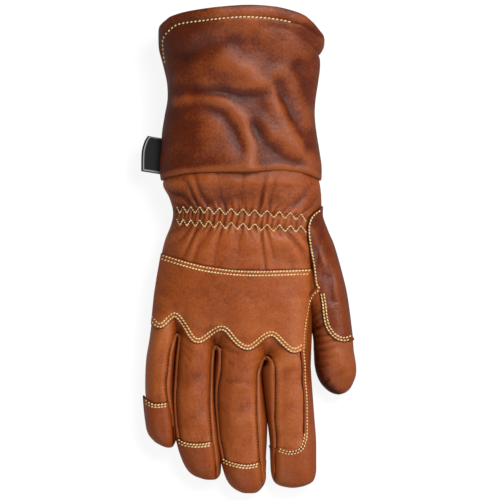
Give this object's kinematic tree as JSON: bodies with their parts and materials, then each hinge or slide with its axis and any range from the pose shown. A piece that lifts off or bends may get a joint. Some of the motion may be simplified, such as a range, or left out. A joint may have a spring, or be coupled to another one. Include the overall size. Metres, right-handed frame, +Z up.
{
  "type": "leather driver glove",
  "caption": "Right-hand leather work glove with a long flared gauntlet cuff, elastic gathered wrist, scalloped knuckle strap and capped fingertips.",
  "frame": {"origin": "centre of the glove's bounding box, at the height of the flat that it lies on", "axes": "+Y from the fingertips to the cuff's open rim, +X towards the thumb, +Z up from the palm, which lies down"},
  "size_m": [0.157, 0.3557, 0.078],
  "materials": {
    "cuff_leather": "full-grain cowhide, tan brown, satin, darker in its folds",
    "back_leather": "full-grain cowhide, tan brown, satin",
    "patch_leather": "full-grain cowhide, tan brown, satin, with dark cut edges",
    "palm_leather": "full-grain cowhide, reddish brown, satin",
    "fourchette_leather": "full-grain cowhide, tan brown, satin",
    "label_weave": "black damask weave, matt, with a thin pale border"
  },
  "bodies": {
    "root": {"gauntlet_cuff": "cuff_leather", "hand_back": "back_leather", "palm": "palm_leather", "fourchette_little_ring": "fourchette_leather", "fourchette_ring_middle": "fourchette_leather", "fourchette_middle_index": "fourchette_leather", "thumb_patch": "palm_leather", "thumb": "palm_leather", "knuckle_strap": "patch_leather", "tip_cap_little": "patch_leather", "tip_cap_ring": "patch_leather", "tip_cap_middle": "patch_leather", "side_label": "label_weave"}
  },
  "joints": []
}
